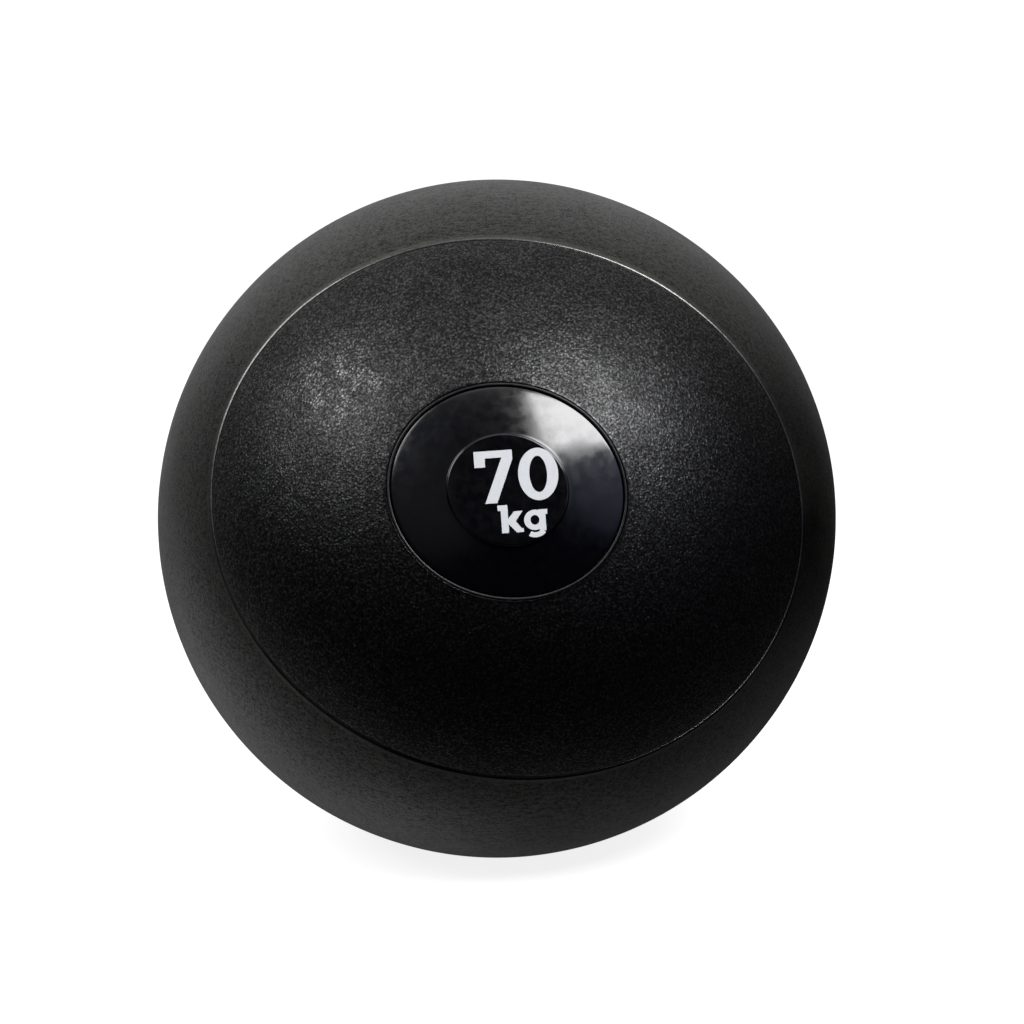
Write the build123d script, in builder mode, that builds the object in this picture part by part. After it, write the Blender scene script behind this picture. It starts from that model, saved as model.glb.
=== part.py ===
from build123d import *
import os
from functools import cache
from math import cos, radians, sin, sqrt

# A heavy slam-type medicine ball: a thick rubber shell in three bonded pieces over a bladder
# that is packed with iron sand. It stands as it settles under its own weight, pressed flat
# underneath and with its moulded rings drawn into slight ovals.
# Millimetres and degrees, +Z up, origin on the floor under the ball's centre.

# ---- Ball ----
ball_radius = 180
shell_wall = 12
bladder_wall = 2.5
floor_flat_radius = 44  # radius of the flat underneath, before its edge is rounded
floor_blend_radius = 50

# ---- Where the weight disc looks ----
face_tilt = 15  # upwards from level
ring_turn = -14  # long axis of the ovals from level, clockwise as the disc is read
number_turn = 3.7  # baseline of the number from level

# ---- Seam between each cap and the belt ----
seam_angle_wide = 55  # from the pole, along the oval's long axis
seam_angle_tall = 46.5
seam_shift = (3.8, -2.9)  # the oval's centre from the pole, along its own two axes
seam_lap = 6  # how far the cap's lip runs under the belt
cement_film = 0.3
groove_width = 1.2
groove_depth = 0.8

# ---- Pole discs ----
disc_wide = 55.45
disc_tall = 49.35
disc_thickness = 3
disc_sink = 0.5  # the disc's face below the ball's surface
disc_edge_round = 0.6
glue_film = 0.3
glue_margin = 1.5
pad_wide = 28.8
pad_tall = 26.2
pad_rise = 0.6  # the centre pad's flat top above the disc's crown
pad_edge_round = 0.7

# ---- Trim ring round each disc ----
ring_gap = 0.7  # between the disc and the ring
ring_width = 1.2
ring_stand = 0.2  # above the ball's surface
ring_edge_round = 0.45
recess_gap = 0.4  # between the ring and the cap
recess_edge_round = 0.4

# ---- Filler under the front disc ----
plug_head_radius = 13
plug_head_depth = 6  # of the seat, below the recess floor at the pole
plug_seat_width = 3
plug_sink = 0.4
plug_clearance = 0.2
plug_short = 4  # the plug ends this far above the neck's end
plug_key_radius = 5.5
plug_key_depth = 5
washer_thickness = 1.5
neck_wall = 1.8  # round the plug's head
neck_reach = 16  # how far the neck runs on inside the bladder
neck_flange_width = 10
neck_flange_thickness = 3
neck_clearance = 0.2  # round the neck where it passes the cap

# ---- Number on the front pad ----
print_thickness = 0.12
digit_height = 24.8
digit_gap = 2.2
number_centre = (4.6, 6.4)  # from the pole, level and upright
unit_corner = (-5.6, -20.4)  # baseline start of the unit
unit_gap = 0.4

# ---- Worked-out places ----
centre_height = sqrt(ball_radius**2 - floor_flat_radius**2)
shell_inner_radius = ball_radius - shell_wall
bladder_inner_radius = shell_inner_radius - bladder_wall
lap_radius = ball_radius - shell_wall / 2
seam_wide = ball_radius * sin(radians(seam_angle_wide))
seam_tall = ball_radius * sin(radians(seam_angle_tall))
disc_top_radius = ball_radius - disc_sink
disc_bottom_radius = disc_top_radius - disc_thickness
recess_radius = disc_bottom_radius - glue_film
pad_top = disc_top_radius + pad_rise
ring_offset = ring_gap + ring_width
recess_offset = ring_offset + recess_gap
neck_bore_radius = plug_head_radius - plug_seat_width
neck_radius = plug_head_radius + plug_clearance + neck_wall
neck_flange_radius = neck_radius + neck_flange_width
neck_end = bladder_inner_radius - neck_reach
plug_seat = recess_radius - plug_head_depth
far = ball_radius + shell_wall  # past the ball's surface

ball_centre = (0, 0, centre_height)
pole_direction = (0, -cos(radians(face_tilt)), sin(radians(face_tilt)))
face = Plane(origin=ball_centre, x_dir=(1, 0, 0), z_dir=pole_direction)
ring_plane = Plane(face.location * Rotation(0, 0, ring_turn))
number_plane = Plane(face.offset(pad_top).location * Rotation(0, 0, number_turn))
unit_plane = Plane(number_plane.location * Location(unit_corner))
front = 1
rear = -1


@cache
def settled_ball(radius):
    """A solid ball about the common centre, pressed flat underneath as far as the outside is."""
    depth = ball_radius - radius
    with BuildPart() as ball:
        with Locations(ball_centre):
            Sphere(radius)
        split(bisect_by=Plane.XY.offset(depth))
        flat_edge = ball.edges().filter_by(GeomType.CIRCLE).sort_by(Axis.Z)[0]
        fillet(flat_edge, radius=floor_blend_radius - depth)
    return ball.part


def ball_layer(outer_radius, inner_radius):
    """The space between two settled balls."""
    outer = settled_ball(outer_radius)
    inner = settled_ball(inner_radius)
    with BuildPart() as layer:
        add(outer)
        add(inner, mode=Mode.SUBTRACT)
    return layer.part


def oval_column(wide, tall, side, shift=(0, 0), height=far):
    """A straight oval column from the ball's middle out along the pole."""
    with BuildPart() as column:
        with BuildSketch(ring_plane):
            with Locations(shift):
                Ellipse(wide, tall)
        extrude(amount=side * height)
    return column.part


def round_column(radius, start, end=far):
    """A round column about the front pole, between two heights from the ball's centre."""
    with BuildPart() as column:
        with BuildSketch(face.offset(start)):
            Circle(radius)
        extrude(amount=end - start)
    return column.part


def layer_in_oval(outer_radius, inner_radius, wide, tall, side, shift=(0, 0)):
    """The patch of a ball layer that lies inside an oval column."""
    layer = ball_layer(outer_radius, inner_radius)
    column = oval_column(wide, tall, side, shift)
    with BuildPart() as patch:
        add(layer)
        add(column, mode=Mode.INTERSECT)
    return patch.part


def seam_stack(side, skin_grow, top_radius, middle_radius):
    """What a seam encloses: a wide lip below, the straight seam, and the groove's half at the skin."""
    skin = layer_in_oval(
        top_radius, ball_radius - groove_depth,
        seam_wide + skin_grow, seam_tall + skin_grow, side, seam_shift,
    )
    body = layer_in_oval(
        ball_radius - groove_depth, middle_radius, seam_wide, seam_tall, side, seam_shift
    )
    lip = layer_in_oval(
        middle_radius, shell_inner_radius,
        seam_wide + seam_lap, seam_tall + seam_lap, side, seam_shift,
    )
    with BuildPart() as stack:
        add(skin)
        add(body)
        add(lip)
    return stack.part


def height_along_pole(edge, side):
    """Mean height of a closed edge above the ball's middle, towards one pole."""
    quarters = [edge @ 0, edge @ 0.25, edge @ 0.5, edge @ 0.75]
    heights = [(point - Vector(*ball_centre)).dot(face.z_dir * side) for point in quarters]
    return sum(heights) / len(heights)


def rings_outwards(builder, side):
    """The ring-shaped edges of a piece, in order from the ball's middle to the pole."""
    rings = builder.edges().filter_by(GeomType.LINE, reverse=True)
    return rings.sort_by(lambda edge: height_along_pole(edge, side))


def make_cap(side):
    """A pole cap with a lip under the belt and a recess for its disc and trim ring."""
    stack = seam_stack(side, -groove_width / 2, ball_radius, lap_radius - cement_film / 2)
    recess = oval_column(disc_wide + recess_offset, disc_tall + recess_offset, side)
    floor = settled_ball(recess_radius)
    with BuildPart() as cutter:
        add(recess)
        add(floor, mode=Mode.SUBTRACT)
    with BuildPart() as cap:
        add(stack)
        add(cutter.part, mode=Mode.SUBTRACT)
        recess_mouth = rings_outwards(cap, side)[-1]
        fillet(recess_mouth, radius=recess_edge_round)
    return cap


def make_cement(side):
    """The film of rubber cement in the lap between a cap and the belt."""
    film_top = lap_radius + cement_film / 2
    film_bottom = lap_radius - cement_film / 2
    outer = layer_in_oval(
        film_top, film_bottom, seam_wide + seam_lap, seam_tall + seam_lap, side, seam_shift
    )
    inner = oval_column(seam_wide, seam_tall, side, seam_shift)
    with BuildPart() as cement:
        add(outer)
        add(inner, mode=Mode.SUBTRACT)
    return cement


def make_disc(side):
    """A glossy pole disc that follows the ball, with a flat raised pad in the middle."""
    plate = layer_in_oval(disc_top_radius, disc_bottom_radius, disc_wide, disc_tall, side)
    pad_column = oval_column(pad_wide, pad_tall, side, height=pad_top)
    below = settled_ball(disc_top_radius - disc_thickness / 2)
    with BuildPart() as pad:
        add(pad_column)
        add(below, mode=Mode.SUBTRACT)
    with BuildPart() as disc:
        add(plate)
        add(pad.part)
        disc_rim = rings_outwards(disc, side)[-3]
        fillet(disc_rim, radius=disc_edge_round)
        pad_rim = rings_outwards(disc, side)[-1]
        fillet(pad_rim, radius=pad_edge_round)
    return disc


def make_glue(side):
    """The glue film between a disc and the floor of its recess."""
    wide = disc_wide - glue_margin
    tall = disc_tall - glue_margin
    film = layer_in_oval(disc_bottom_radius, recess_radius, wide, tall, side)
    with BuildPart() as glue:
        add(film)
    return glue


def make_ring(side):
    """The thin round-topped trim ring that stands round a disc."""
    ring_top_radius = ball_radius + ring_stand
    outer = layer_in_oval(
        ring_top_radius, recess_radius, disc_wide + ring_offset, disc_tall + ring_offset, side
    )
    inner = oval_column(disc_wide + ring_gap, disc_tall + ring_gap, side)
    with BuildPart() as ring:
        add(outer)
        add(inner, mode=Mode.SUBTRACT)
        crest_edges = rings_outwards(ring, side)[-2:]
        fillet(crest_edges, radius=ring_edge_round)
    return ring


# ---- Shell ----
front_cap_bare = make_cap(front)
neck_passage = round_column(neck_radius + neck_clearance, lap_radius - shell_wall)
with BuildPart() as front_cap_shell:
    add(front_cap_bare.part)
    add(neck_passage, mode=Mode.SUBTRACT)

rear_cap_shell = make_cap(rear)

whole_shell = ball_layer(ball_radius, shell_inner_radius)
front_opening = seam_stack(front, groove_width / 2, far, lap_radius + cement_film / 2)
rear_opening = seam_stack(rear, groove_width / 2, far, lap_radius + cement_film / 2)
with BuildPart() as belt_shell:
    add(whole_shell)
    add(front_opening, mode=Mode.SUBTRACT)
    add(rear_opening, mode=Mode.SUBTRACT)

front_seam_cement = make_cement(front)
rear_seam_cement = make_cement(rear)

# ---- Bladder, filler and fill ----
neck_flange_layer = ball_layer(bladder_inner_radius, bladder_inner_radius - neck_flange_thickness)
neck_flange_column = round_column(neck_flange_radius, neck_end)
with BuildPart() as neck_flange:
    add(neck_flange_layer)
    add(neck_flange_column, mode=Mode.INTERSECT)

neck_tube = round_column(neck_radius, neck_end)
neck_limit = settled_ball(recess_radius)
with BuildPart() as neck_solid:
    add(neck_tube)
    add(neck_limit, mode=Mode.INTERSECT)
    add(neck_flange.part)

with BuildPart() as filler_neck:
    add(neck_solid.part)
    add(round_column(neck_bore_radius, neck_end), mode=Mode.SUBTRACT)
    add(round_column(plug_head_radius + plug_clearance, plug_seat), mode=Mode.SUBTRACT)

bladder_wall_layer = ball_layer(shell_inner_radius, bladder_inner_radius)
with BuildPart() as inner_bladder:
    add(bladder_wall_layer)
    add(neck_tube, mode=Mode.SUBTRACT)

fill_ball = settled_ball(bladder_inner_radius)
with BuildPart() as iron_sand_fill:
    add(fill_ball)
    add(neck_solid.part, mode=Mode.SUBTRACT)

plug_limit = settled_ball(recess_radius - plug_sink)
with BuildPart() as filler_plug:
    add(round_column(neck_bore_radius, neck_end + plug_short, plug_seat + washer_thickness))
    add(round_column(plug_head_radius, plug_seat + washer_thickness))
    add(plug_limit, mode=Mode.INTERSECT)
    with BuildSketch(face.offset(recess_radius)):
        RegularPolygon(plug_key_radius, 6)
    extrude(amount=-(plug_sink + plug_key_depth), mode=Mode.SUBTRACT)

with BuildPart() as plug_washer:
    with BuildSketch(face.offset(plug_seat)):
        Circle(plug_head_radius)
        Circle(neck_bore_radius, mode=Mode.SUBTRACT)
    extrude(amount=washer_thickness)

# ---- Discs and trim rings ----
front_disc = make_disc(front)
rear_disc = make_disc(rear)
front_disc_glue = make_glue(front)
rear_disc_glue = make_glue(rear)
front_trim_ring = make_ring(front)
rear_trim_ring = make_ring(rear)

# ---- Number ----
seven_width = 18.1
seven_bar = 3.4
seven_serif_width = 5.1
seven_serif_drop = 7.6
seven_shoulder = 4.4  # upright end of the bar
seven_foot = (3.9, 9.6)  # from and to, along the baseline
seven_armpit = 13
zero_width = 18.9
zero_side = 5.3
zero_top = 3.8

k_height = 13.2
k_width = 11.7
k_slab_width = 1.4
k_slab_height = 2.6
k_stem = 3.3
k_arm_top = 10
k_arm_slope = 3  # how far the arm runs from the stem to its top
k_joint = (4.1, 6.7)  # where the arms meet the stem, from and to
k_crotch = (8.2, 5.3)
k_leg_start = 8.4
k_toe_height = 1.8
k_toe_slope = 0.9
g_bowl_wide = 5.1
g_bowl_tall = 4.8
g_bowl_height = 5.3  # of the bowl's centre
g_counter_wide = 2.1
g_counter_tall = 2.3
g_stem = 3.2
g_ear = 1
g_ear_height = 2.4
g_tail_width = 2.4
g_tail_reach = 7.8
g_tail_depth = 1.6
g_tail_curl = 0.6  # how far the tail's tip turns back up

number_width = seven_width + digit_gap + zero_width
number_left = number_centre[0] - number_width / 2
number_base = number_centre[1] - digit_height / 2
zero_centre = (number_left + number_width - zero_width / 2, number_centre[1])
g_left = k_width + unit_gap
g_stem_right = g_left + 2 * g_bowl_wide
g_centre = (g_left + g_bowl_wide, g_bowl_height)
g_top = g_bowl_height + g_bowl_tall

with BuildPart() as weight_number:
    with BuildSketch(number_plane):
        with Locations((number_left, number_base)):
            Polygon(
                (0, digit_height),
                (0, digit_height - seven_serif_drop),
                (seven_serif_width, digit_height - seven_serif_drop),
                (seven_serif_width, digit_height - seven_bar),
                (seven_armpit, digit_height - seven_bar),
                (seven_foot[0], 0),
                (seven_foot[1], 0),
                (seven_width, digit_height - seven_shoulder),
                (seven_width, digit_height),
                align=None,
            )
        with Locations(zero_centre):
            Ellipse(zero_width / 2, digit_height / 2)
            Ellipse(
                zero_width / 2 - zero_side, digit_height / 2 - zero_top, mode=Mode.SUBTRACT
            )
    extrude(amount=print_thickness)

with BuildPart() as weight_unit:
    with BuildSketch(unit_plane):
        with Locations((k_slab_width, 0)):
            Rectangle(k_stem, k_height, align=(Align.MIN, Align.MIN))
        with Locations((0, k_height)):
            Rectangle(k_slab_width + k_stem / 2, k_slab_height, align=(Align.MIN, Align.MAX))
        Polygon(
            (k_slab_width + k_stem / 2, k_joint[1]),
            (k_slab_width + k_stem, k_joint[1]),
            (k_slab_width + k_stem + k_arm_slope, k_arm_top),
            (k_width, k_arm_top),
            k_crotch,
            (k_width - k_toe_slope, k_toe_height),
            (k_width, k_toe_height),
            (k_width, 0),
            (k_leg_start, 0),
            (k_slab_width + k_stem, k_joint[0]),
            (k_slab_width + k_stem / 2, k_joint[0]),
            align=None,
        )
        with Locations((g_stem_right, 0)):
            Rectangle(g_stem, g_top, align=(Align.MAX, Align.MIN))
        with Locations((g_stem_right + g_ear, g_top)):
            Rectangle(g_stem + g_ear, g_ear_height, align=(Align.MAX, Align.MAX))
        with Locations(g_centre):
            Ellipse(g_bowl_wide, g_bowl_tall)
            Ellipse(g_counter_wide, g_counter_tall, mode=Mode.SUBTRACT)
        with BuildLine():
            ThreePointArc(
                (g_stem_right - g_tail_width / 2, 0),
                (g_stem_right - g_tail_reach / 2, -g_tail_depth),
                (g_stem_right - g_tail_reach, g_tail_curl - g_tail_depth),
            )
        trace(line_width=g_tail_width)
    extrude(amount=print_thickness)

# ---- Hand over ----
pieces = {
    "front_cap_shell": front_cap_shell,
    "rear_cap_shell": rear_cap_shell,
    "belt_shell": belt_shell,
    "front_seam_cement": front_seam_cement,
    "rear_seam_cement": rear_seam_cement,
    "inner_bladder": inner_bladder,
    "iron_sand_fill": iron_sand_fill,
    "filler_neck": filler_neck,
    "filler_plug": filler_plug,
    "plug_washer": plug_washer,
    "front_disc": front_disc,
    "rear_disc": rear_disc,
    "front_disc_glue": front_disc_glue,
    "rear_disc_glue": rear_disc_glue,
    "front_trim_ring": front_trim_ring,
    "rear_trim_ring": rear_trim_ring,
    "weight_number": weight_number,
    "weight_unit": weight_unit,
}
os.makedirs("parts", exist_ok=True)
for name, piece in pieces.items():
    piece.part.label = name
    export_step(piece.part, f"parts/{name}.step")
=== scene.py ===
import math

import bmesh
import bpy
import numpy as np
from mathutils import Matrix, Vector


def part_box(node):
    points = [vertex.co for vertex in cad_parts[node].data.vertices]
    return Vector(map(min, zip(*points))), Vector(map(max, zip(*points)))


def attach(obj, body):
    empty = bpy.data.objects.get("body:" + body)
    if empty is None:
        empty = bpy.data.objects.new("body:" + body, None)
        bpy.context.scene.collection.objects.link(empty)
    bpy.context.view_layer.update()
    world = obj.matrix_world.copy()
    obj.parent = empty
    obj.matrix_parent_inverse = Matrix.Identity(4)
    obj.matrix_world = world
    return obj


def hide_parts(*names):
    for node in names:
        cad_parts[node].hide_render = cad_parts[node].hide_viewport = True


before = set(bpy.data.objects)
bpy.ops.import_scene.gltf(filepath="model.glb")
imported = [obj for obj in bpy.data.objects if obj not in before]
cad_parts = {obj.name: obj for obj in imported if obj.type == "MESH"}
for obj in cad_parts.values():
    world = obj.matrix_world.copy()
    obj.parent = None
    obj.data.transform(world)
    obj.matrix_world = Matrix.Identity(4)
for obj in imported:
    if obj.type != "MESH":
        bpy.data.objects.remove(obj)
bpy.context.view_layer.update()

# A settled slam ball: two coarse-grained rubber caps and a finer belt round a sand-filled core,
# with a glossy disc in a trim ring at each pole.
# Metres. The ball stands on Z = 0 and the number's pole looks along -Y and a little up.

MM = 0.001

# ---- Ball, from the frame ----
belt_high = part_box("belt_shell")[1]
ball_radius = belt_high.x
centre_height = belt_high.z - ball_radius
ball_centre = np.array([0.0, 0.0, centre_height])
floor_blend_radius = 50 * MM

# ---- Where the number's pole looks ----
face_tilt = math.radians(15)
ring_turn = math.radians(-14)
POLE = np.array([0.0, -math.cos(face_tilt), math.sin(face_tilt)])
FACE_RIGHT = np.array([1.0, 0.0, 0.0])
FACE_UP = np.cross(POLE, FACE_RIGHT)
WIDE_AXIS = math.cos(ring_turn) * FACE_RIGHT + math.sin(ring_turn) * FACE_UP
TALL_AXIS = math.cos(ring_turn) * FACE_UP - math.sin(ring_turn) * FACE_RIGHT
FRONT = 1
REAR = -1

# ---- Shell ----
shell_wall = 12 * MM
seam_wide = ball_radius * math.sin(math.radians(55))
seam_tall = ball_radius * math.sin(math.radians(46.5))
seam_shift = (3.8 * MM, -2.9 * MM)
seam_lap = 6 * MM
lap_depth = 6 * MM
cement_film = 0.3 * MM
groove_width = 1.3 * MM
groove_depth = 1.0 * MM
cap_lip = (0.4 * MM, 90)
belt_lip = (2.4 * MM, 42)
neck_passage = 15.2 * MM
recess_depth = 3.8 * MM
recess_lip_round = 0.35 * MM

# ---- Discs and trim rings ----
disc_wide = 55.45 * MM
disc_tall = 49.35 * MM
disc_sink = 0.5 * MM
disc_thickness = 3 * MM
disc_rim_round = 0.4 * MM
pad_flat_wide = 28.1 * MM
pad_flat_tall = 25.5 * MM
pad_top = ball_radius + 0.1 * MM
pad_edge_round = 1.0 * MM
pad_foot_round = 0.3 * MM
ring_gap = 0.7 * MM
ring_width = 1.2 * MM
ring_stand = 0.2 * MM
ring_round = 0.45 * MM
recess_gap = 0.4 * MM
recess_wide = disc_wide + ring_gap + ring_width + recess_gap
recess_tall = disc_tall + ring_gap + ring_width + recess_gap

# ---- Slow unevenness of the thick rubber skin ----
swell_depth = 0.22 * MM
swell_size = 34 * MM
ripple_depth = 0.05 * MM
ripple_size = 9 * MM
unevenness_seed = 7
# Cosine of the angle from straight down at which the skin next to the floor starts and ends
# being left even.
even_from = 0.93
even_to = 0.96
least_cosine = 0.01

# ---- Fineness of the meshes ----
STEPS_AROUND = 384
STEPS_CAP_SKIN = 64
STEPS_BELT_SKIN = 96
STEPS_INSIDE = 14
STEPS_DISC_SKIN = 18
STEPS_ROUND = 6

AROUND = np.linspace(0, 2 * math.pi, STEPS_AROUND, endpoint=False)[:, None]


# ======== Rings round a pole ========
# A ring is an array of points about the ball's centre, one for each step around.


def oval(wide, tall, shift=(0, 0)):
    """An oval's outline across the pole, as two columns: along its long axis and its short axis."""
    along_wide = shift[0] + wide * np.cos(AROUND)
    along_tall = shift[1] + tall * np.sin(AROUND)
    return np.hstack([along_wide, along_tall])


def raise_ring(outline, height, side):
    """An outline lifted to a height above the ball's middle, towards one pole."""
    return outline[:, :1] * WIDE_AXIS + outline[:, 1:] * TALL_AXIS + side * height * POLE


def ring_on_ball(outline, depth, side):
    """An outline carried straight along the pole onto the ball, at a depth below its skin."""
    reach = (outline**2).sum(axis=1, keepdims=True)
    height = np.sqrt((ball_radius - depth) ** 2 - reach)
    return raise_ring(outline, height, side)


def ring_between(start, end, share, step, depth):
    """A ring a share of the way round the ball from one ring to another, and a step further."""
    first = start / np.linalg.norm(start, axis=1, keepdims=True)
    last = end / np.linalg.norm(end, axis=1, keepdims=True)
    whole = np.arccos(np.clip((first * last).sum(axis=1, keepdims=True), -1, 1))
    turn = share * whole + step / ball_radius
    direction = (np.sin(whole - turn) * first + np.sin(turn) * last) / np.sin(whole)
    return (ball_radius - depth) * direction


def seam_ring(grow, depth, side):
    """A ring of the seam's straight wall, or that much outside it."""
    return ring_on_ball(oval(seam_wide + grow, seam_tall + grow, seam_shift), depth, side)


def shares(steps):
    """Even shares from the first to the last, both ends left out."""
    return [step / steps for step in range(1, steps)]


def rolled(degrees):
    """Sine and one-less-cosine of a turn from nothing up to some degrees, both ends kept."""
    angles = [math.radians(degrees) * step / STEPS_ROUND for step in range(STEPS_ROUND + 1)]
    return [(math.sin(angle), 1 - math.cos(angle)) for angle in angles]


def lip_width(lip):
    """How far a rolled lip reaches back from its edge: its radius by the sine of its turn."""
    radius, degrees = lip
    return radius * math.sin(math.radians(degrees))


# ======== Cross-sections ========
# Each is a list of (ring, wear): wear is 1 where handling polishes an edge and 0 elsewhere.


def seam_lip(near, far, lip, step_side):
    """The rolled lip and wall of one side of the seam's groove, from the skin down."""
    radius, degrees = lip
    rows = []
    for sine, drop in rolled(degrees):
        step = step_side * (groove_width / 2 + lip_width(lip) - radius * sine)
        rows.append((ring_between(near, far, 0, step, radius * drop), 1.0))
    foot = step_side * groove_width / 2
    rows.append((ring_between(near, far, 0, foot, groove_depth), 0.0))
    return rows


def recess_rows(side, inner):
    """The recess a disc sits in: its floor from inside out, its wall and its rounded mouth."""
    rows = []
    for share in [0] + shares(STEPS_ROUND) + [1]:
        wide = inner + share * (recess_wide - inner)
        tall = inner + share * (recess_tall - inner)
        rows.append((ring_on_ball(oval(wide, tall), recess_depth, side), 0.0))
    rows.append((ring_on_ball(oval(recess_wide, recess_tall), recess_depth / 2, side), 0.0))
    for sine, out in rolled(90):
        grow = recess_lip_round * out
        outline = oval(recess_wide + grow, recess_tall + grow)
        rows.append((ring_on_ball(outline, recess_lip_round * (1 - sine), side), 1.0))
    return rows


def cap_rows(side, inner):
    """A cap's closed section: recess, skin, seam lip, lap under the belt and the inside."""
    rows = recess_rows(side, inner)
    mouth = rows[-1][0]
    seam = seam_ring(0, groove_depth, side)
    skin_end = -(groove_width / 2 + lip_width(cap_lip))
    for share in shares(STEPS_CAP_SKIN):
        rows.append((ring_between(mouth, seam, share, share * skin_end, 0), 0.0))
    rows += seam_lip(seam, far_side_of(seam, side), cap_lip, -1)
    rows.append((seam, 0.0))
    lip_top = lap_depth + cement_film / 2
    rows.append((seam_ring(0, lip_top, side), 0.0))
    rows.append((seam_ring(seam_lap, lip_top, side), 0.0))
    rows.append((seam_ring(seam_lap, shell_wall, side), 0.0))
    for share in shares(STEPS_INSIDE) + [1]:
        wide = seam_wide + seam_lap + share * (inner - seam_wide - seam_lap)
        tall = seam_tall + seam_lap + share * (inner - seam_tall - seam_lap)
        shift = (seam_shift[0] * (1 - share), seam_shift[1] * (1 - share))
        rows.append((ring_on_ball(oval(wide, tall, shift), shell_wall, side), 0.0))
    return rows


def far_side_of(ring, side):
    """The same ring at the other pole, which gives the way on round the ball."""
    heights = ring @ POLE
    return ring - 2 * heights[:, None] * POLE


def belt_rows():
    """The belt's closed section: skin, rear seam, inside, and front seam back to the skin."""
    front_seam = seam_ring(0, groove_depth, FRONT)
    rear_seam = seam_ring(0, groove_depth, REAR)
    edge = groove_width / 2 + lip_width(belt_lip)
    rows = []
    for share in shares(STEPS_BELT_SKIN):
        step = edge * (1 - 2 * share)
        rows.append((ring_between(front_seam, rear_seam, share, step, 0), 0.0))
    rows += seam_lip(rear_seam, front_seam, belt_lip, 1)
    rows += lap_rows(REAR)
    front_inside = seam_ring(seam_lap, shell_wall, FRONT)
    rear_inside = seam_ring(seam_lap, shell_wall, REAR)
    for share in shares(STEPS_INSIDE):
        rows.append((ring_between(rear_inside, front_inside, share, 0, shell_wall), 0.0))
    rows += reversed(lap_rows(FRONT))
    rows += reversed(seam_lip(front_seam, rear_seam, belt_lip, 1))
    return rows


def lap_rows(side):
    """The belt's underside over a cap's lip, from the groove's floor to the inside."""
    lip_top = lap_depth - cement_film / 2
    return [
        (seam_ring(0, groove_depth, side), 0.0),
        (seam_ring(0, lip_top, side), 0.0),
        (seam_ring(seam_lap, lip_top, side), 0.0),
        (seam_ring(seam_lap, shell_wall, side), 0.0),
    ]


def disc_rows(side):
    """A disc's closed section: flat pad, its rounded edge and foot, skin, rim and underside."""
    rows = []
    for share in shares(STEPS_ROUND):
        outline = oval(pad_flat_wide * share, pad_flat_tall * share)
        rows.append((raise_ring(outline, pad_top, side), 0.0))
    for sine, drop in rolled(90):
        outline = oval(pad_flat_wide + pad_edge_round * sine, pad_flat_tall + pad_edge_round * sine)
        rows.append((raise_ring(outline, pad_top - pad_edge_round * drop, side), 0.0))
    foot_wide = pad_flat_wide + pad_edge_round
    foot_tall = pad_flat_tall + pad_edge_round
    for sine, out in rolled(90):
        outline = oval(foot_wide + pad_foot_round * out, foot_tall + pad_foot_round * out)
        depth = disc_sink - pad_foot_round * (1 - sine)
        rows.append((ring_on_ball(outline, depth, side), 0.0))
    skin_start = ring_on_ball(outline, disc_sink, side)
    rim = oval(disc_wide - disc_rim_round, disc_tall - disc_rim_round)
    skin_end = ring_on_ball(rim, disc_sink, side)
    for share in shares(STEPS_DISC_SKIN):
        rows.append((ring_between(skin_start, skin_end, share, 0, disc_sink), 0.0))
    for sine, drop in rolled(90):
        back = disc_rim_round * (1 - sine)
        outline = oval(disc_wide - back, disc_tall - back)
        rows.append((ring_on_ball(outline, disc_sink + disc_rim_round * drop, side), 0.0))
    bottom = disc_sink + disc_thickness
    for share in [0] + shares(STEPS_ROUND):
        outline = oval(disc_wide * (1 - share), disc_tall * (1 - share))
        rows.append((ring_on_ball(outline, bottom, side), 0.0))
    return rows


# ======== Meshes ========


def loft(name, rows, tips=None):
    """A closed mesh through the rows: joined end to end, or closed by a tip point at each end."""
    points = np.vstack([ring for ring, wear in rows])
    wear = np.repeat([wear for ring, wear in rows], STEPS_AROUND)
    count = len(rows)
    faces = []
    for row in range(count if tips is None else count - 1):
        here = row * STEPS_AROUND
        there = (row + 1) % count * STEPS_AROUND
        for step in range(STEPS_AROUND):
            ahead = (step + 1) % STEPS_AROUND
            faces.append((here + step, there + step, there + ahead, here + ahead))
    if tips is not None:
        points = np.vstack([points, tips])
        wear = np.append(wear, [0.0, 0.0])
        last = (count - 1) * STEPS_AROUND
        first_tip = count * STEPS_AROUND
        for step in range(STEPS_AROUND):
            ahead = (step + 1) % STEPS_AROUND
            faces.append((first_tip, step, ahead))
            faces.append((first_tip + 1, last + ahead, last + step))
    mesh = bpy.data.meshes.new(name)
    mesh.from_pydata([tuple(point) for point in points + ball_centre], [], faces)
    worn = mesh.attributes.new("edge_wear", "FLOAT", "POINT")
    worn.data.foreach_set("value", wear.astype(np.float32))
    turn_outwards(mesh)
    piece = bpy.data.objects.new(name, mesh)
    bpy.context.scene.collection.objects.link(piece)
    return piece


def turn_outwards(mesh):
    """Faces of a closed mesh turned to point out of it, and shaded smooth."""
    shape = bmesh.new()
    shape.from_mesh(mesh)
    bmesh.ops.recalc_face_normals(shape, faces=shape.faces)
    shape.to_mesh(mesh)
    shape.free()
    mesh.shade_smooth()


def on_pole(height, side):
    """The point of a pole at a height above the ball's middle."""
    return side * height * POLE


# ======== Node trees ========


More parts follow.
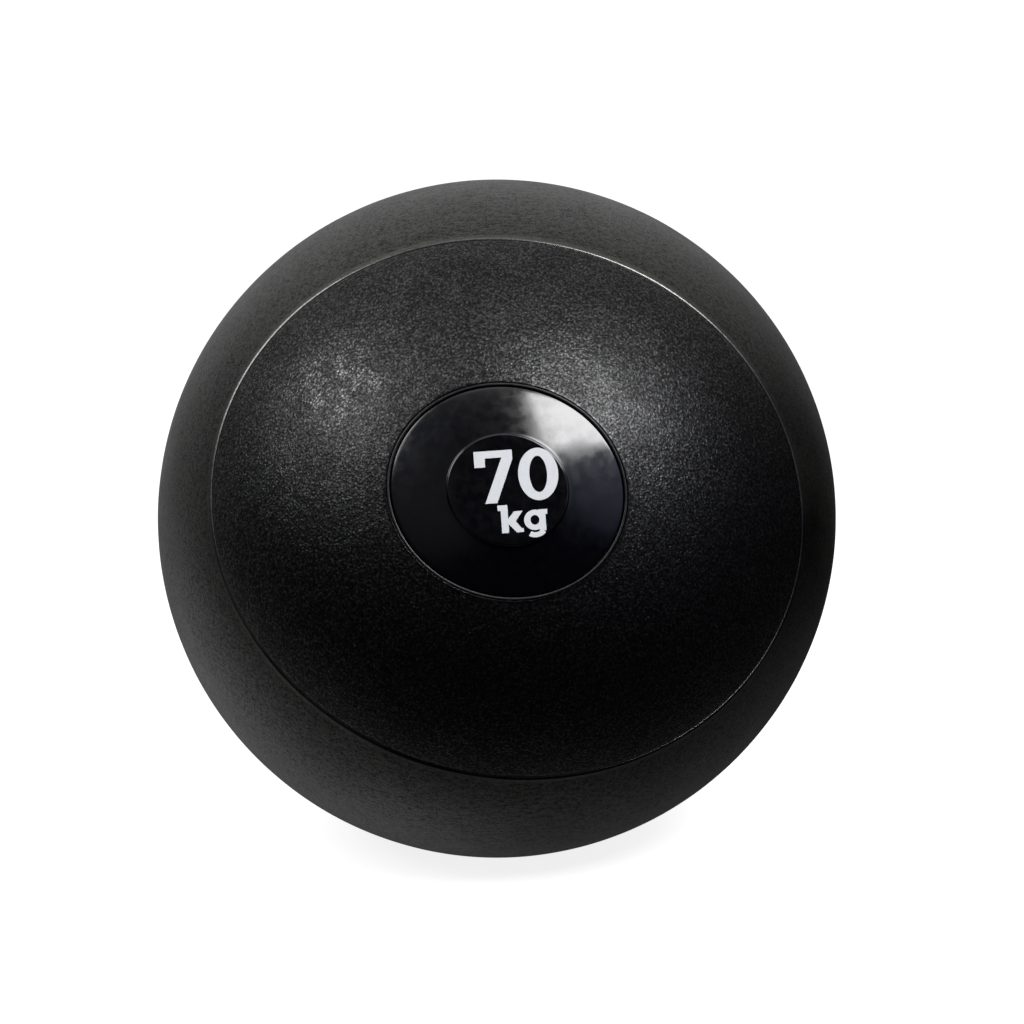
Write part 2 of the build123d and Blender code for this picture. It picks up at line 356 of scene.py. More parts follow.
class NodeBench:
    """Adds nodes to one tree, and wires or fills their inputs."""

    def __init__(self, tree):
        self.tree = tree

    def add(self, kind, inputs=None, **settings):
        node = self.tree.nodes.new(kind)
        for name, value in settings.items():
            setattr(node, name, value)
        for name, value in (inputs or {}).items():
            self.feed(node.inputs[name], value)
        return node

    def feed(self, socket, value):
        if isinstance(value, bpy.types.NodeSocket):
            self.tree.links.new(value, socket)
        else:
            socket.default_value = value

    def calc(self, operation, *values):
        node = self.add("ShaderNodeMath", operation=operation)
        for socket, value in zip(node.inputs, values):
            self.feed(socket, value)
        return node.outputs[0]

    def vector(self, operation, *values):
        node = self.add("ShaderNodeVectorMath", operation=operation)
        for socket, value in zip(node.inputs, values):
            self.feed(socket, value)
        return node.outputs[1 if operation in ("LENGTH", "DOT_PRODUCT") else 0]

    def scaled(self, vector, factor):
        node = self.add("ShaderNodeVectorMath", {0: vector, "Scale": factor}, operation="SCALE")
        return node.outputs[0]

    def ease(self, value, low, high, to_low=0.0, to_high=1.0):
        """The value's place between low and high, eased, and carried to a new range."""
        places = {0: value, 1: low, 2: high, 3: to_low, 4: to_high}
        return self.add("ShaderNodeMapRange", places, interpolation_type="SMOOTHSTEP").outputs[0]


def geometry_tree(name, numbers):
    """A geometry tree with one geometry in and out, a material, and named number inputs."""
    tree = bpy.data.node_groups.new(name, "GeometryNodeTree")
    face = tree.interface
    face.new_socket("Geometry", in_out="INPUT", socket_type="NodeSocketGeometry")
    face.new_socket("Material", in_out="INPUT", socket_type="NodeSocketMaterial")
    for label, value in numbers.items():
        kind = "NodeSocketVector" if isinstance(value, (tuple, Vector)) else "NodeSocketFloat"
        kind = "NodeSocketInt" if isinstance(value, int) else kind
        face.new_socket(label, in_out="INPUT", socket_type=kind).default_value = value
    face.new_socket("Geometry", in_out="OUTPUT", socket_type="NodeSocketGeometry")
    bench = NodeBench(tree)
    given = bench.add("NodeGroupInput").outputs
    return bench, given


def close_tree(bench, geometry, material):
    """The end of every geometry tree: instances made real, and the material set."""
    real = bench.add("GeometryNodeRealizeInstances", {"Geometry": geometry}).outputs[0]
    dressed = bench.add("GeometryNodeSetMaterial", {"Geometry": real, "Material": material})
    bench.add("NodeGroupOutput", {"Geometry": dressed.outputs[0]})


def settle_tree():
    """Presses a round shell onto the floor and gives its skin the slow unevenness of thick rubber."""
    bench, given = geometry_tree(
        "settled_rubber",
        {
            "Ball Centre": Vector(ball_centre),
            "Ball Radius": ball_radius,
            "Blend Radius": floor_blend_radius,
            "Swell Depth": swell_depth,
            "Swell Size": swell_size,
            "Ripple Depth": ripple_depth,
            "Ripple Size": ripple_size,
            "Seed": unevenness_seed,
        },
    )
    position = bench.add("GeometryNodeInputPosition").outputs[0]
    offset = bench.vector("SUBTRACT", position, given["Ball Centre"])
    direction = bench.vector("NORMALIZE", offset)
    downward = bench.calc("MULTIPLY", part_of(bench, direction, "Z"), -1.0)
    cosine = bench.calc("MAXIMUM", downward, least_cosine)
    settled = settled_reach(bench, given, cosine)
    length = bench.vector("LENGTH", offset)
    pressed = bench.calc("DIVIDE", bench.calc("MULTIPLY", length, settled), given["Ball Radius"])
    even = bench.ease(cosine, even_from, even_to, 1.0, 0.0)
    sunk = bench.calc("MULTIPLY", skin_sink(bench, given, position), even)
    distance = bench.calc("SUBTRACT", pressed, sunk)
    place = bench.vector("ADD", given["Ball Centre"], bench.scaled(direction, distance))
    moved = bench.add("GeometryNodeSetPosition", {"Geometry": given["Geometry"], "Position": place})
    close_tree(bench, moved.outputs[0], given["Material"])
    return bench.tree


def settled_reach(bench, given, cosine):
    """How far the settled skin is from the ball's centre: on the flat, the blend or the round."""
    radius = given["Ball Radius"]
    blend = given["Blend Radius"]
    height = part_of(bench, given["Ball Centre"], "Z")
    sine = root(bench, bench.calc("SUBTRACT", 1.0, squared(bench, cosine)))

    # The blend's circle touches the ball inside and the floor; its middle is this far out and down.
    to_middle = bench.calc("SUBTRACT", radius, blend)
    middle_down = bench.calc("SUBTRACT", height, blend)
    across = bench.calc("SUBTRACT", squared(bench, to_middle), squared(bench, middle_down))
    middle_out = bench.calc("SQRT", across)
    sideways = bench.calc("MULTIPLY", sine, middle_out)
    along = bench.calc("ADD", sideways, bench.calc("MULTIPLY", cosine, middle_down))
    both = bench.calc("ADD", squared(bench, along), squared(bench, blend))
    inside = bench.calc("SUBTRACT", both, squared(bench, to_middle))
    to_blend = bench.calc("ADD", along, root(bench, inside))
    to_floor = bench.calc("DIVIDE", height, cosine)

    out = bench.calc("DIVIDE", sine, cosine)
    past_flat = bench.calc("GREATER_THAN", bench.calc("MULTIPLY", out, height), middle_out)
    past_blend = bench.calc("GREATER_THAN", bench.calc("MULTIPLY", out, middle_down), middle_out)
    low_part = mix_numbers(bench, past_flat, to_floor, to_blend)
    return mix_numbers(bench, past_blend, low_part, radius)


def skin_sink(bench, given, position):
    """How far the uneven skin lies below the round ball."""
    swell = slow_noise(bench, position, given["Swell Size"], given["Seed"])
    ripple = slow_noise(bench, position, given["Ripple Size"], given["Seed"])
    deep = bench.calc("MULTIPLY", swell, given["Swell Depth"])
    return bench.calc("ADD", deep, bench.calc("MULTIPLY", ripple, given["Ripple Depth"]))


def part_of(bench, vector, axis):
    """One coordinate of a vector."""
    return bench.add("ShaderNodeSeparateXYZ", {0: vector}).outputs[axis]


def squared(bench, value):
    return bench.calc("POWER", value, 2.0)


def root(bench, value):
    """The square root, or nothing where rounding has taken the value below 0."""
    return bench.calc("SQRT", bench.calc("MAXIMUM", value, 0.0))


def mix_numbers(bench, factor, first, second):
    """The first number at factor 0 and the second at factor 1."""
    change = bench.calc("SUBTRACT", second, first)
    return bench.calc("ADD", first, bench.calc("MULTIPLY", factor, change))


def slow_noise(bench, position, size, seed):
    """Smooth noise from 0 to 1 with bumps of about a given size."""
    pitch = bench.calc("DIVIDE", 1.0, size)
    settings = {"Vector": position, "W": seed, "Scale": pitch, "Detail": 1.0, "Roughness": 0.4}
    return bench.add("ShaderNodeTexNoise", settings, noise_dimensions="4D").outputs[0]


def trim_ring_tree():
    """Sweeps a round-topped strip along an oval that lies on the ball, then turns it to its pole."""
    bench, given = geometry_tree(
        "trim_ring",
        {
            "Wide": disc_wide,
            "Tall": disc_tall,
            "Strip Width": ring_width,
            "Strip Height": recess_depth,
            "Strip Round": ring_round,
            "Skin Radius": ball_radius,
            "Steps": STEPS_AROUND,
            "Ball Centre": Vector(ball_centre),
            "Turn": (0.0, 0.0, 0.0),
        },
    )
    circle = bench.add(
        "GeometryNodeCurvePrimitiveCircle", {"Radius": 1.0, "Resolution": given["Steps"]}
    ).outputs[0]
    position = bench.add("GeometryNodeInputPosition").outputs[0]
    parts = bench.add("ShaderNodeSeparateXYZ", {0: position}).outputs
    wide = bench.calc("MULTIPLY", parts["X"], given["Wide"])
    tall = bench.calc("MULTIPLY", parts["Y"], given["Tall"])
    reach = bench.calc("ADD", squared(bench, wide), squared(bench, tall))
    skin = bench.calc("SQRT", bench.calc("SUBTRACT", squared(bench, given["Skin Radius"]), reach))
    height = bench.calc("SUBTRACT", skin, bench.calc("DIVIDE", given["Strip Height"], 2.0))
    place = bench.add("ShaderNodeCombineXYZ", {"X": wide, "Y": tall, "Z": height}).outputs[0]
    path = bench.add("GeometryNodeSetPosition", {"Geometry": circle, "Position": place})
    upright = bench.add(
        "GeometryNodeSetCurveNormal", {"Curve": path.outputs[0]}, mode="Z_UP"
    ).outputs[0]
    strip = bench.add(
        "GeometryNodeCurvePrimitiveQuadrilateral",
        {"Width": given["Strip Width"], "Height": given["Strip Height"]},
    ).outputs[0]
    corners = {"Curve": strip, "Radius": given["Strip Round"], "Count": STEPS_ROUND}
    rounded = bench.add("GeometryNodeFilletCurve", corners, mode="POLY")
    swept = bench.add(
        "GeometryNodeCurveToMesh", {"Curve": upright, "Profile Curve": rounded.outputs[0]}
    ).outputs[0]
    smooth = bench.add("GeometryNodeSetShadeSmooth", {"Geometry": swept}).outputs[0]
    turned = bench.add(
        "GeometryNodeTransform",
        {"Geometry": smooth, "Translation": given["Ball Centre"], "Rotation": given["Turn"]},
    ).outputs[0]
    close_tree(bench, turned, given["Material"])
    return bench.tree


def run_tree(piece, tree, material, **values):
    """Runs a geometry tree on a piece, and keeps the result as its plain mesh."""
    work = piece.modifiers.new(tree.name, "NODES")
    work.node_group = tree
    inputs = [item for item in tree.interface.items_tree if item.in_out == "INPUT"]
    sockets = {item.name: item.identifier for item in inputs}
    work[sockets["Material"]] = material
    for name, value in values.items():
        work[sockets[name.replace("_", " ").title()]] = value
    graph = bpy.context.evaluated_depsgraph_get()
    made = bpy.data.meshes.new_from_object(piece.evaluated_get(graph), depsgraph=graph)
    piece.modifiers.remove(work)
    old = piece.data
    piece.data = made
    made.name = piece.name
    bpy.data.meshes.remove(old)
    return piece


# ======== Finishes ========

cap_grain = 1.3 * MM
cap_fine_grain = 1.2 * MM
cap_patch = 22 * MM
cap_grain_depth = 0.24 * MM
cap_wander = 0.9 * MM
CAP_DARK = (0.0005, 0.0005, 0.0006, 1)
CAP_LIGHT = (0.0018, 0.0018, 0.0024, 1)

# The spot rubbed by handling: where it is in degrees, its full middle, its reach and its ragged
# edge.
rubbed_azimuth = -32
rubbed_elevation = 31
rubbed_middle = 6 * MM
rubbed_reach = 34 * MM
rubbed_ragged = 11 * MM

belt_grit = 0.8 * MM
belt_peel = 2.2 * MM
belt_scuff = 38 * MM
belt_streak = 1.1 * MM
belt_streak_squeeze = (0.14, 1.0, 1.0)
belt_grain_depth = 0.3 * MM
belt_wander = 0.7 * MM
BELT_DARK = (0.0010, 0.0010, 0.0009, 1)
BELT_LIGHT = (0.0030, 0.0029, 0.0025, 1)
BELT_SHEEN = (1.0, 0.995, 0.95, 1)

wander_size = 3 * MM

disc_wave = 16 * MM
disc_wave_depth = 0.25 * MM
disc_speck = 0.7 * MM
disc_smear = 5 * MM
DISC_DARK = (0.0007, 0.0007, 0.0014, 1)
DISC_DUST = (0.004, 0.004, 0.005, 1)

trim_mark = 2.5 * MM
trim_mark_depth = 0.06 * MM
TRIM_DARK = (0.004, 0.004, 0.0045, 1)
TRIM_LIGHT = (0.009, 0.009, 0.010, 1)

ink_mottle = 1.6 * MM
ink_depth = 0.02 * MM
INK_DARK = (0.41, 0.42, 0.44, 1)
INK_LIGHT = (0.47, 0.48, 0.50, 1)

# Stuffs inside the ball: dark and light colour, size of the mottle, roughness and relief.
BLADDER_LOOK = ((0.03, 0.022, 0.018, 1), (0.06, 0.05, 0.04, 1), 9 * MM, 0.6, 0.2 * MM)
SAND_LOOK = ((0.02, 0.018, 0.016, 1), (0.12, 0.10, 0.09, 1), 0.8 * MM, 0.7, 0.4 * MM)
NYLON_LOOK = ((0.02, 0.02, 0.02, 1), (0.035, 0.035, 0.034, 1), 3 * MM, 0.5, 0.05 * MM)
CEMENT_LOOK = ((0.07, 0.055, 0.03, 1), (0.13, 0.10, 0.06, 1), 5 * MM, 0.4, 0.1 * MM)
WASHER_LOOK = ((0.01, 0.01, 0.01, 1), (0.02, 0.02, 0.02, 1), 2 * MM, 0.5, 0.05 * MM)
inner_roughness_spread = 0.08

floor_cloud = 0.6
floor_glow = 0.85
FLOOR_DARK = (0.34, 0.34, 0.34, 1)
FLOOR_LIGHT = (0.38, 0.38, 0.38, 1)


def new_finish(name):
    """A material with an empty tree, its bench, its shader and the piece's own coordinates."""
    material = bpy.data.materials.new(name)
    material.use_nodes = True
    material.node_tree.nodes.clear()
    bench = NodeBench(material.node_tree)
    shader = bench.add("ShaderNodeBsdfPrincipled")
    bench.add("ShaderNodeOutputMaterial", {"Surface": shader.outputs[0]})
    where = bench.add("ShaderNodeTexCoord").outputs["Object"]
    return material, bench, shader, where


def noise(bench, where, pitch, detail=2.0, roughness=0.5):
    """Noise with features about one pitch apart."""
    settings = {"Vector": where, "Scale": 1 / pitch, "Detail": detail, "Roughness": roughness}
    return bench.add("ShaderNodeTexNoise", settings)


def wandered(bench, where, pitch, amount):
    """Coordinates pushed about by noise, so that a regular pattern wanders."""
    push = noise(bench, where, pitch).outputs["Color"]
    centred = bench.vector("SUBTRACT", push, (0.5, 0.5, 0.5))
    return bench.vector("ADD", where, bench.scaled(centred, amount))


def blend_colours(bench, factor, first, second):
    """One colour at factor 0 and the other at factor 1."""
    node = bench.add("ShaderNodeMix", {0: factor}, data_type="RGBA")
    bench.feed(node.inputs[6], first)
    bench.feed(node.inputs[7], second)
    return node.outputs[2]


def edge_wear(bench):
    """The piece's own record of where an edge is polished."""
    return bench.add("ShaderNodeAttribute", attribute_name="edge_wear").outputs["Fac"]


def cap_rubber():
    """Coarse speckled black rubber, slightly blue, with one spot rubbed shinier by handling."""
    material, bench, shader, where = new_finish("cap_rubber")
    drift = wandered(bench, where, wander_size, cap_wander)
    cells = bench.add("ShaderNodeTexVoronoi", {"Vector": drift, "Scale": 1 / cap_grain}).outputs
    fine = noise(bench, drift, cap_fine_grain, 3.0, 0.62).outputs[0]
    patches = noise(bench, where, cap_patch, 3.0, 0.55).outputs[0]
    pebble = bench.ease(cells["Distance"], 0.0, 0.75, 1.0, 0.0)
    chance = bench.add("ShaderNodeSeparateColor", {0: cells["Color"]}).outputs[0]
    lumps = bench.calc("MULTIPLY", bench.calc("MULTIPLY", pebble, chance), 0.5)
    grain = bench.calc("ADD", lumps, bench.calc("MULTIPLY", fine, 1.15))
    rubbed = rubbed_spot(bench, where)
    wear = edge_wear(bench)
    strength = bench.ease(wear, 0, 1, 1.0, 0.1)
    relief = {"Height": grain, "Strength": strength, "Distance": cap_grain_depth}
    bump = bench.add("ShaderNodeBump", relief)
    tops = bench.ease(grain, 0.4, 1.05)
    colour = blend_colours(bench, tops, CAP_DARK, CAP_LIGHT)
    bench.feed(shader.inputs["Base Color"], colour)
    mottled = bench.ease(patches, 0.3, 0.7, 0.85, 1.2)
    glints = bench.calc("MULTIPLY", rubbed, bench.ease(grain, 0.55, 1.0, 0.3, 2.6))
    boost = bench.calc("ADD", mottled, glints)
    shine = bench.calc("MULTIPLY", bench.ease(grain, 0.45, 1.05, 0.1, 0.66), boost)
    bench.feed(shader.inputs["Specular IOR Level"], shine)
    plain = bench.ease(patches, 0.25, 0.75, 0.39, 0.33)
    worn = bench.calc("SUBTRACT", plain, bench.calc("MULTIPLY", wear, 0.12))
    rough = bench.calc("SUBTRACT", worn, bench.calc("MULTIPLY", rubbed, 0.05))
    bench.feed(shader.inputs["Roughness"], rough)
    bench.feed(shader.inputs["Normal"], bump.outputs[0])
    return material


def rubbed_spot(bench, where):
    """1 in the middle of the rubbed spot and 0 past its ragged edge."""
    way = direction_of(math.radians(rubbed_azimuth), math.radians(rubbed_elevation))
    away = bench.vector("SUBTRACT", where, Vector(ball_centre) + way * ball_radius)
    ragged = noise(bench, where, rubbed_ragged, 4.0, 0.65).outputs[0]
    near = bench.ease(bench.vector("LENGTH", away), rubbed_middle, rubbed_reach, 1.0, 0.0)
    return bench.calc("MULTIPLY", near, bench.ease(ragged, 0.4, 0.62))


def belt_rubber():
    """Finer, duller and slightly warm grey-black rubber with short streaks across."""
    material, bench, shader, where = new_finish("belt_rubber")
    drift = wandered(bench, where, wander_size, belt_wander)
    grit = noise(bench, drift, belt_grit, 3.0, 0.65).outputs[0]
    orange_peel = noise(bench, where, belt_peel, 1.0, 0.5).outputs[0]
    scuffs = noise(bench, where, belt_scuff, 3.0, 0.55).outputs[0]
    along = bench.vector("MULTIPLY", where, belt_streak_squeeze)
    streaks = noise(bench, along, belt_streak, 2.0, 0.5).outputs[0]
    peel = bench.calc("MULTIPLY", orange_peel, 0.25)
    coarse = bench.calc("ADD", peel, bench.calc("MULTIPLY", streaks, 0.3))
    grain = bench.calc("ADD", bench.calc("MULTIPLY", grit, 0.65), coarse)
    wear = edge_wear(bench)
    strength = bench.ease(wear, 0, 1, 0.8, 0.05)
    relief = {"Height": grain, "Strength": strength, "Distance": belt_grain_depth}
    bump = bench.add("ShaderNodeBump", relief)
    dust = bench.ease(scuffs, 0.35, 0.75)
    colour = blend_colours(bench, dust, BELT_DARK, BELT_LIGHT)
    bench.feed(shader.inputs["Base Color"], colour)
    shader.inputs["Specular Tint"].default_value = BELT_SHEEN
    shine = bench.ease(grain, 0.45, 0.75, 0.04, 0.6)
    worn_shine = bench.calc("ADD", shine, bench.calc("MULTIPLY", wear, 0.6))
    bench.feed(shader.inputs["Specular IOR Level"], worn_shine)
    plain = bench.ease(scuffs, 0.3, 0.7, 0.34, 0.4)
    rough = bench.calc("SUBTRACT", plain, bench.calc("MULTIPLY", wear, 0.1))
    bench.feed(shader.inputs["Roughness"], rough)
    bench.feed(shader.inputs["Normal"], bump.outputs[0])
    return material


def disc_gloss():
    """Blue-black glossy plastic, a little wavy, with fine dust marks and smears."""
    material, bench, shader, where = new_finish("disc_gloss")
    wave = noise(bench, where, disc_wave, 1.0, 0.4).outputs[0]
    specks = noise(bench, where, disc_speck, 2.0, 0.6).outputs[0]
    relief = {"Height": wave, "Strength": 0.6, "Distance": disc_wave_depth}
    bump = bench.add("ShaderNodeBump", relief)
    dust = bench.ease(specks, 0.68, 0.8)
    colour = blend_colours(bench, dust, DISC_DARK, DISC_DUST)
    bench.feed(shader.inputs["Base Color"], colour)
    smears = noise(bench, where, disc_smear, 3.0, 0.6).outputs[0]
    bench.feed(shader.inputs["Roughness"], bench.ease(smears, 0.3, 0.7, 0.13, 0.2))
    bench.feed(shader.inputs["Normal"], bump.outputs[0])
    return material


def trim_rubber():
    """Smooth satin rubber bead with faint mould marks."""
    material, bench, shader, where = new_finish("trim_rubber")
    marks = noise(bench, where, trim_mark, 2.0, 0.5).outputs[0]
    relief = {"Height": marks, "Strength": 0.3, "Distance": trim_mark_depth}
    bump = bench.add("ShaderNodeBump", relief)
    colour = blend_colours(bench, marks, TRIM_DARK, TRIM_LIGHT)
    bench.feed(shader.inputs["Base Color"], colour)
    shader.inputs["Specular IOR Level"].default_value = 0.35
    bench.feed(shader.inputs["Roughness"], bench.ease(marks, 0.3, 0.7, 0.28, 0.38))
    bench.feed(shader.inputs["Normal"], bump.outputs[0])
    return material


def print_ink():
    """Cool white pad print, slightly uneven."""
    material, bench, shader, where = new_finish("print_ink")
    mottle = noise(bench, where, ink_mottle, 3.0, 0.6).outputs[0]
    relief = {"Height": mottle, "Strength": 0.2, "Distance": ink_depth}
    bump = bench.add("ShaderNodeBump", relief)
    colour = blend_colours(bench, mottle, INK_DARK, INK_LIGHT)
    bench.feed(shader.inputs["Base Color"], colour)
    bench.feed(shader.inputs["Roughness"], bench.ease(mottle, 0.3, 0.7, 0.4, 0.55))
    bench.feed(shader.inputs["Normal"], bump.outputs[0])
    return material


def inner_finish(name, dark, light, pitch, roughness, bump_depth):
    """A plain moulded, glued or loose stuff inside the ball, mottled between two colours."""
    material, bench, shader, where = new_finish(name)
    mottle = noise(bench, where, pitch, 4.0, 0.6).outputs[0]
    bump = bench.add("ShaderNodeBump", {"Height": mottle, "Strength": 0.7, "Distance": bump_depth})
    colour = blend_colours(bench, bench.ease(mottle, 0.3, 0.7), dark, light)
    bench.feed(shader.inputs["Base Color"], colour)
    smoothest = roughness - inner_roughness_spread
    roughest = roughness + inner_roughness_spread
    bench.feed(shader.inputs["Roughness"], bench.ease(mottle, 0.3, 0.7, smoothest, roughest))
    bench.feed(shader.inputs["Normal"], bump.outputs[0])
    return material


def floor_paint():
    """Pale studio floor with a trace of unevenness and a light of its own."""
    material, bench, shader, where = new_finish("pale_floor")
    cloud = noise(bench, where, floor_cloud, 2.0, 0.5).outputs[0]
    colour = blend_colours(bench, cloud, FLOOR_DARK, FLOOR_LIGHT)
    bench.feed(shader.inputs["Base Color"], colour)
    shader.inputs["Roughness"].default_value = 0.9
    shader.inputs["Specular IOR Level"].default_value = 0.1
    shader.inputs["Emission Color"].default_value = (1, 1, 1, 1)
    shader.inputs["Emission Strength"].default_value = floor_glow
    return material


# ======== Pieces ========


def settle(piece, material, *nodes, slot):
    """A shell piece pressed onto the floor, dressed, and put in place of its CAD nodes."""
    run_tree(piece, settled_rubber, material)
    hand_over(piece, *nodes, slot=slot)


def hand_over(piece, *nodes, slot):
    """A finished piece rides with the ball and stands for its CAD nodes."""
    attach(piece, "root")
    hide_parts(*nodes)


def make_front_cap(material):
    """The cap under the number, open round the filler neck."""
    piece = loft("front_cap", cap_rows(FRONT, neck_passage))
    settle(piece, material, "front_cap_shell", slot="shell_rubber")


def make_rear_cap(material):
    """The cap at the far pole, closed."""
    inner = recess_tall / STEPS_ROUND
    tips = [on_pole(ball_radius - recess_depth, REAR), on_pole(ball_radius - shell_wall, REAR)]
    piece = loft("rear_cap", cap_rows(REAR, inner), tips)
    settle(piece, material, "rear_cap_shell", slot="shell_rubber")


def make_belt(material):
    """The band of shell between the two seams."""
    piece = loft("belt", belt_rows())
    settle(piece, material, "belt_shell", slot="belt_rubber")


def make_disc(name, side, material, node):
    """A glossy disc with its raised pad, at one pole."""
    tips = [on_pole(pad_top, side), on_pole(ball_radius - disc_sink - disc_thickness, side)]
    piece = loft(name, disc_rows(side), tips)
    piece.data.materials.append(material)
    hand_over(piece, node, slot="disc_plastic")


def make_trim_ring(name, side, material, node):
    """The thin bead that stands round a disc."""
    mesh = bpy.data.meshes.new(name)
    piece = bpy.data.objects.new(name, mesh)
    bpy.context.scene.collection.objects.link(piece)
    middle = ring_gap + ring_width / 2
    run_tree(
        piece,
        trim_ring,
        material,
        wide=disc_wide + middle,
        tall=disc_tall + middle,
        skin_radius=ball_radius + ring_stand,
        turn=pole_turn(side),
    )
    turn_outwards(piece.data)
    hand_over(piece, node, slot="trim_rubber")


def pole_turn(side):
    """The turn that carries a ring made about +Z to one pole, with its long axis in place."""
    columns = [WIDE_AXIS, side * TALL_AXIS, side * POLE]
    return Matrix(np.array(columns).T.tolist()).to_euler()


def dress_node(name, material):
    """A CAD node that is kept gets its finish."""
    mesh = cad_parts[name].data
    mesh.materials.clear()
    mesh.materials.append(material)


def build_ball():
    """Every piece that is seen from outside, except the print."""
    shell = cap_rubber()
    gloss = disc_gloss()
    trim = trim_rubber()
    make_front_cap(shell)
    make_rear_cap(shell)
    make_belt(belt_rubber())
    make_disc("number_disc", FRONT, gloss, "front_disc")
    make_disc("plain_disc", REAR, gloss, "rear_disc")
    make_trim_ring("front_ring", FRONT, trim, "front_trim_ring")
    make_trim_ring("rear_ring", REAR, trim, "rear_trim_ring")


def dress_inside():
    """Finishes for the print and for everything inside the shell."""
    ink = print_ink()
    bladder = inner_finish("bladder_rubber", *BLADDER_LOOK)
    sand = inner_finish("iron_sand", *SAND_LOOK)
    nylon = inner_finish("filler_nylon", *NYLON_LOOK)
    cement = inner_finish("rubber_cement", *CEMENT_LOOK)
    washer = inner_finish("washer_rubber", *WASHER_LOOK)
    finishes = {
        "weight_number": ink,
        "weight_unit": ink,
        "inner_bladder": bladder,
        "iron_sand_fill": sand,
        "filler_neck": nylon,
        "filler_plug": nylon,
        "plug_washer": washer,
        "front_seam_cement": cement,
        "rear_seam_cement": cement,
        "front_disc_glue": cement,
        "rear_disc_glue": cement,
    }
    for node, material in finishes.items():
        dress_node(node, material)


# ======== Studio ========

camera_distance = 1.5
camera_azimuth = math.radians(-1.7)
camera_elevation = math.radians(10.7)
aim_right = 8.0 * MM
aim_up = 3.4 * MM
camera_lens = 98.7
camera_sensor = 36
camera_sees_to = 500
light_distance = 1.3
floor_half_width = 150.0
studio_glow = 0.001

# Azimuth and elevation in degrees, width, height and radiance.
softboxes = {
    "key_softbox": (33, 41, 0.70, 0.46, 20),
    "side_softbox": (-60, 37, 0.8, 0.6, 7.5),
}


def direction_of(azimuth, elevation):
    """A direction from the ball: azimuth from -Y towards +X, elevation above the floor."""
    level = math.cos(elevation)
    return Vector((math.sin(azimuth) * level, -math.cos(azimuth) * level, math.sin(elevation)))


def make_camera():
    """Looks at the number from a little to its left and above the ball's middle."""
    view = direction_of(camera_azimuth, camera_elevation)
    right = Vector((0, 0, 1)).cross(view).normalized()
    up = view.cross(right)
    centre = Vector(ball_centre)
    data = bpy.data.cameras.new("camera")
    data.lens = camera_lens
    data.sensor_width = camera_sensor
    data.clip_end = camera_sees_to
    camera = bpy.data.objects.new("camera", data)
    camera.location = centre + view * camera_distance
    target = centre + right * aim_right + up * aim_up
    camera.rotation_mode = "QUATERNION"
    camera.rotation_quaternion = (target - camera.location).to_track_quat("-Z", "Y")
    bpy.context.scene.collection.objects.link(camera)
    bpy.context.scene.camera = camera


def make_softbox(name, azimuth, elevation, width, height, radiance):
    """A softbox that faces the ball and shines with an even radiance."""
    data = bpy.data.lights.new(name, "AREA")
    data.shape = "RECTANGLE"
    data.size = width
    data.size_y = height
    data.energy = radiance * math.pi * width * height
    lamp = bpy.data.objects.new(name, data)
    way = direction_of(math.radians(azimuth), math.radians(elevation))
    lamp.location = Vector(ball_centre) + way * light_distance
    lamp.rotation_mode = "QUATERNION"
    lamp.rotation_quaternion = (-way).to_track_quat("-Z", "Y")
    lamp.visible_camera = False
    bpy.context.scene.collection.objects.link(lamp)


def make_floor():
    """A wide floor that lights nothing and shows in no reflection."""
    half = floor_half_width
    corners = [(-half, -half, 0), (half, -half, 0), (half, half, 0), (-half, half, 0)]
    mesh = bpy.data.meshes.new("floor")
    mesh.from_pydata(corners, [], [(0, 1, 2, 3)])
    mesh.materials.append(floor_paint())
    floor = bpy.data.objects.new("floor", mesh)
    floor.visible_glossy = False
    floor.visible_diffuse = False
    bpy.context.scene.collection.objects.link(floor)


NEUTRAL = (1.0, 1.0, 1.0)
COOL = (0.80, 0.88, 1.25)

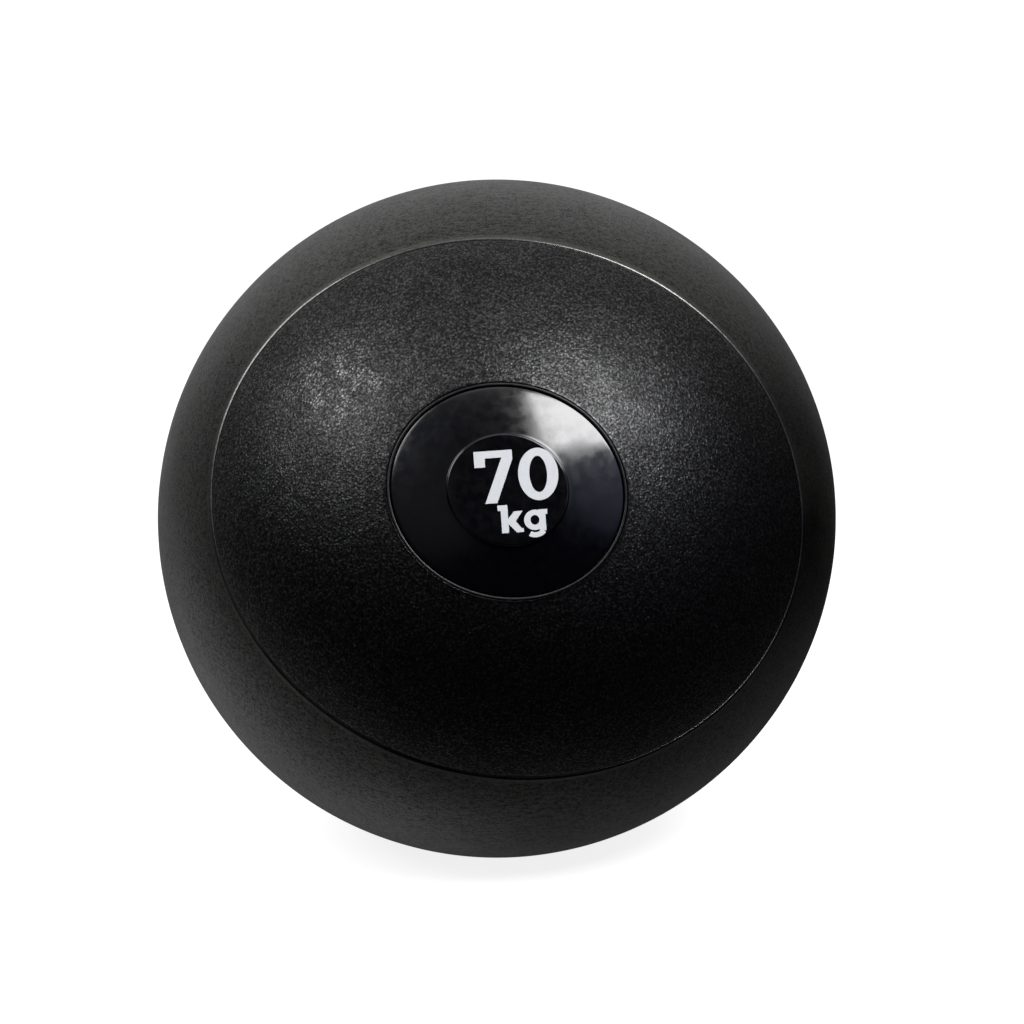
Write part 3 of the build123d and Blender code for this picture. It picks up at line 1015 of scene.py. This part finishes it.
# Soft panels and walls that the rubber reflects: azimuth and elevation in degrees, how far
# each fades out, its radiance and its tint.
studio_panels = {
    "ceiling": (180, 75, 75, 0.46, NEUTRAL),
    "back_wall": (180, 28, 50, 0.45, NEUTRAL),
    "left_wall_top": (-115, 35, 48, 0.22, NEUTRAL),
    "right_wall_top": (115, 40, 45, 0.08, NEUTRAL),
    "left_wall": (-142, -8, 35, 0.28, NEUTRAL),
    "left_front": (-62, 40, 40, 0.12, COOL),
    "front_fill": (-24, 17, 26, 0.13, NEUTRAL),
    "top_front": (-15, 76, 28, 1.2, NEUTRAL),
    "key_spill": (44, 29, 32, 0.6, COOL),
    "floor_left": (-128, -44, 42, 0.48, NEUTRAL),
    "floor_under": (180, -85, 32, 0.15, NEUTRAL),
    "floor_right": (150, -54, 45, 0.14, NEUTRAL),
}


def make_surroundings():
    """A pale backdrop; in reflections, a dark studio with soft panels and pale walls."""
    world = bpy.data.worlds.new("studio")
    world.use_nodes = True
    world.node_tree.nodes.clear()
    bench = NodeBench(world.node_tree)
    way = bench.add("ShaderNodeTexCoord").outputs["Generated"]
    glow = (studio_glow, studio_glow, studio_glow)
    for name, (azimuth, elevation, spread, radiance, tint) in studio_panels.items():
        facing = direction_of(math.radians(azimuth), math.radians(elevation))
        nearness = bench.vector("DOT_PRODUCT", way, facing)
        shade = bench.ease(nearness, math.cos(math.radians(spread)), 1.0)
        panel = bench.add("ShaderNodeMath", {0: shade, 1: radiance}, operation="MULTIPLY", label=name)
        glow = bench.vector("ADD", bench.scaled(tint, panel.outputs[0]), glow)
    seen = bench.add("ShaderNodeLightPath").outputs["Is Camera Ray"]
    colour = blend_colours(bench, seen, glow, (1, 1, 1, 1))
    shine = bench.add("ShaderNodeBackground", {"Color": colour})
    bench.add("ShaderNodeOutputWorld", {"Surface": shine.outputs[0]})
    bpy.context.scene.world = world


settled_rubber = settle_tree()
trim_ring = trim_ring_tree()
build_ball()
dress_inside()
make_floor()
make_surroundings()
for softbox, placing in softboxes.items():
    make_softbox(softbox, *placing)
make_camera()
bpy.context.scene.view_settings.view_transform = "Standard"
